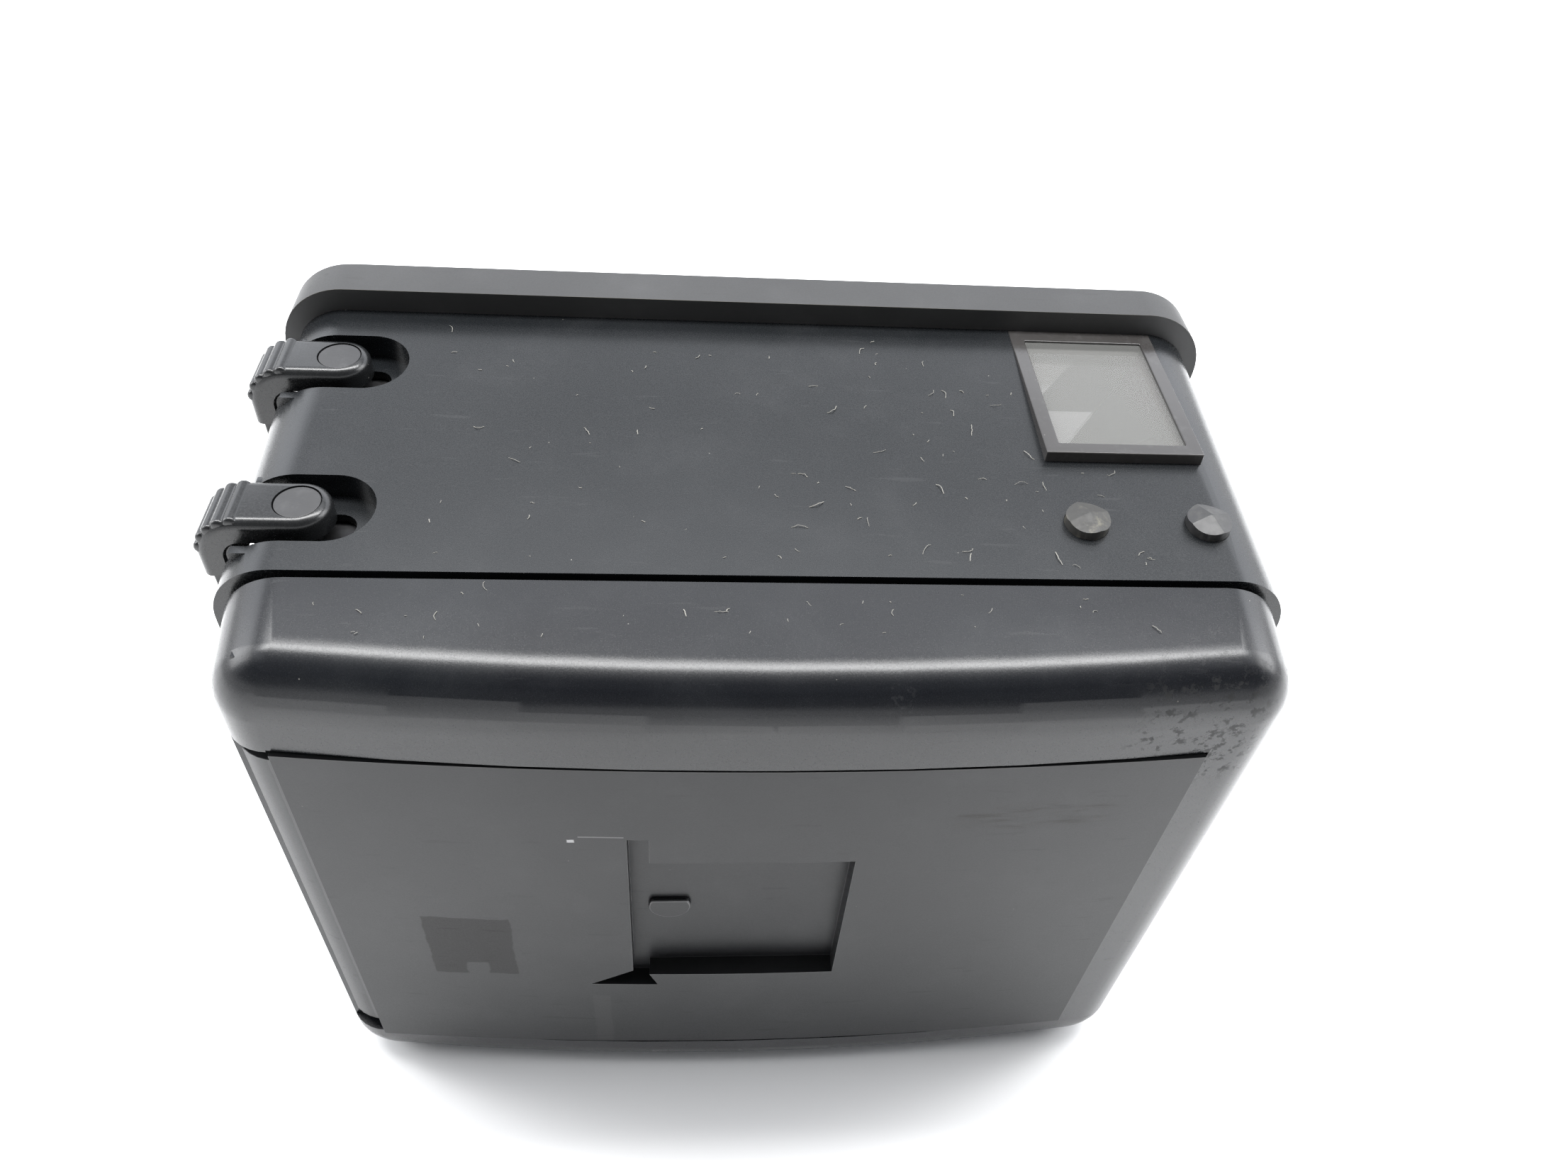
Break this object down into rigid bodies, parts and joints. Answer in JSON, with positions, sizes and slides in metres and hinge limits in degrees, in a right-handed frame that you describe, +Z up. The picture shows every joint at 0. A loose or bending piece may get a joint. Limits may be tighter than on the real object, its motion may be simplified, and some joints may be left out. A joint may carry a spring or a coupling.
{
  "type": "roll-film magazine",
  "caption": "Roll-film magazine for a medium-format camera: hinged back with memo holder and stored dark slide, sliding latches, display with buttons, film insert and gear drive.",
  "frame": {"origin": "on the resting plane, mid-width of the housing, half-way between the door seam and the mount flange", "axes": "+X to the right seen from the door, +Y towards the camera through the mount flange, +Z up"},
  "size_m": [0.1401, 0.0756, 0.1074],
  "materials": {
    "shell_black": "satin black paint, lightly dusty",
    "flange_black": "satin black paint",
    "door_black": "satin black paint, scuffed at the edges",
    "cover_black": "fine satin black with glue marks",
    "latch_black": "smooth black moulding",
    "grip_black": "matt black moulding",
    "bezel_black": "glossy dark bezel",
    "window_clear": "clear window",
    "lcd_grey": "blank grey-green liquid crystal glass",
    "zebra_strip": "striped contact rubber",
    "button_rubber": "worn dark rubber",
    "foam_black": "black foam",
    "frame_black": "flocked matt black",
    "mask_black": "matt black",
    "insert_grey": "dark grey paint",
    "core_black": "matt black moulding",
    "steel": "turned steel",
    "spring_steel": "bright spring steel",
    "roller_chrome": "polished",
    "spool_black": "moulded black",
    "gear_brass": "cut brass",
    "gear_nylon": "natural nylon",
    "board_green": "green circuit board",
    "contact_gold": "plated contacts",
    "cell_steel": "bright can",
    "blade_black": "thin black steel",
    "screw_black": "blackened steel",
    "block_black": "matt black moulding"
  },
  "bodies": {
    "housing": {"housing_shell": "shell_black", "mount_flange": "flange_black", "inner_frame": "frame_black", "gate_mask": "mask_black", "slide_light_seal": "foam_black", "lcd_bezel": "bezel_black", "lcd_window": "window_clear", "lcd_panel": "lcd_grey", "lcd_contact_strips": "zebra_strip", "circuit_board": "board_green", "coin_cell": "cell_steel", "cell_clip": "contact_gold", "dome_switches": "steel", "contact_block": "block_black", "contact_pins": "contact_gold", "flange_screws": "screw_black", "hinge_pin": "steel", "door_light_seal": "foam_black", "insert_base_plate": "insert_grey", "insert_top_plate": "insert_grey", "insert_core": "core_black", "insert_screws": "steel", "pressure_springs": "spring_steel", "roller_shafts": "steel", "supply_stud": "steel", "gear_shafts": "steel", "stud_springs": "spring_steel", "latch_springs": "spring_steel"},
    "rear_door": {"rear_door": "door_black", "back_cover_plate": "cover_black", "memo_spring": "cover_black", "plate_screws": "screw_black", "door_catch": "steel", "insert_hold_springs": "spring_steel"},
    "dark_slide": {"dark_slide_blade": "blade_black", "dark_slide_handle": "door_black"},
    "front_latch": {"front_latch_head": "latch_black", "front_latch_grip": "grip_black", "front_latch_pin": "latch_black", "front_latch_slider": "steel"},
    "rear_latch": {"rear_latch_head": "latch_black", "rear_latch_grip": "grip_black", "rear_latch_pin": "latch_black", "rear_latch_slider": "steel"},
    "left_button": {"button_left": "button_rubber"},
    "right_button": {"button_right": "button_rubber"},
    "supply_reel": {"supply_spool": "spool_black"},
    "take_up_reel": {"take_up_spool": "spool_black", "take_up_gear": "gear_brass"},
    "idler": {"idler_gear": "gear_nylon"},
    "drive": {"drive_gear": "gear_brass"},
    "left_roller": {"guide_roller_left": "roller_chrome"},
    "right_roller": {"guide_roller_right": "roller_chrome"},
    "left_stud": {"upper_stud_left": "steel"},
    "right_stud": {"upper_stud_right": "steel"},
    "film_presser": {"pressure_plate": "mask_black"}
  },
  "joints": [
    {"name": "door_hinge", "type": "hinge", "parent": "housing", "child": "rear_door", "pos_m": [0.0672, -0.0251, 0.052], "axis": [0, 0, 1], "range_deg": [0, 120]},
    {"name": "dark_slide_pull", "type": "slide", "parent": "rear_door", "child": "dark_slide", "axis": [-1, 0, 0], "range_m": [0, 0.11]},
    {"name": "front_latch_slide", "type": "slide", "parent": "housing", "child": "front_latch", "axis": [1, 0, 0], "range_m": [0, 0.004], "stiffness_N_per_m": 400, "springref_m": -0.003, "deforming": ["latch_springs"]},
    {"name": "rear_latch_slide", "type": "slide", "parent": "housing", "child": "rear_latch", "axis": [1, 0, 0], "range_m": [0, 0.004], "stiffness_N_per_m": 400, "springref_m": -0.003, "deforming": ["latch_springs"]},
    {"name": "left_button_press", "type": "slide", "parent": "housing", "child": "left_button", "axis": [0, 0, -1], "range_m": [0, 0.0008], "stiffness_N_per_m": 600, "springref_m": -0.0005},
    {"name": "right_button_press", "type": "slide", "parent": "housing", "child": "right_button", "axis": [0, 0, -1], "range_m": [0, 0.0008], "stiffness_N_per_m": 600, "springref_m": -0.0005},
    {"name": "supply_reel_turn", "type": "hinge", "parent": "housing", "child": "supply_reel", "pos_m": [0.0466, -0.0019, 0.04895], "axis": [0, 0, 1], "continuous": true},
    {"name": "take_up_turn", "type": "hinge", "parent": "housing", "child": "take_up_reel", "pos_m": [-0.0466, -0.0019, 0.04895], "axis": [0, 0, 1], "continuous": true},
    {"name": "idler_turn", "type": "hinge", "parent": "housing", "child": "idler", "pos_m": [-0.03108, 0.01313, 0.0084], "axis": [0, 0, 1], "continuous": true},
    {"name": "drive_turn", "type": "hinge", "parent": "housing", "child": "drive", "pos_m": [-0.02016, 0.0237, 0.0084], "axis": [0, 0, 1], "continuous": true},
    {"name": "left_roller_turn", "type": "hinge", "parent": "housing", "child": "left_roller", "pos_m": [-0.0416, 0.0155, 0.04895], "axis": [0, 0, 1], "continuous": true},
    {"name": "right_roller_turn", "type": "hinge", "parent": "housing", "child": "right_roller", "pos_m": [0.0416, 0.0155, 0.04895], "axis": [0, 0, 1], "continuous": true},
    {"name": "left_stud_lift", "type": "slide", "parent": "housing", "child": "left_stud", "axis": [0, 0, 1], "range_m": [0, 0.0022], "stiffness_N_per_m": 300, "springref_m": -0.002, "deforming": ["stud_springs"]},
    {"name": "right_stud_lift", "type": "slide", "parent": "housing", "child": "right_stud", "axis": [0, 0, 1], "range_m": [0, 0.0022], "stiffness_N_per_m": 300, "springref_m": -0.002, "deforming": ["stud_springs"]},
    {"name": "pressure_plate_give", "type": "slide", "parent": "housing", "child": "film_presser", "axis": [0, -1, 0], "range_m": [0, 0.001], "stiffness_N_per_m": 500, "springref_m": -0.001, "deforming": ["pressure_springs"]}
  ],
  "couplings": [
    {"joint": "idler_turn", "follows": "take_up_turn", "ratio": -1.7},
    {"joint": "drive_turn", "follows": "take_up_turn", "ratio": 1.8889}
  ]
}
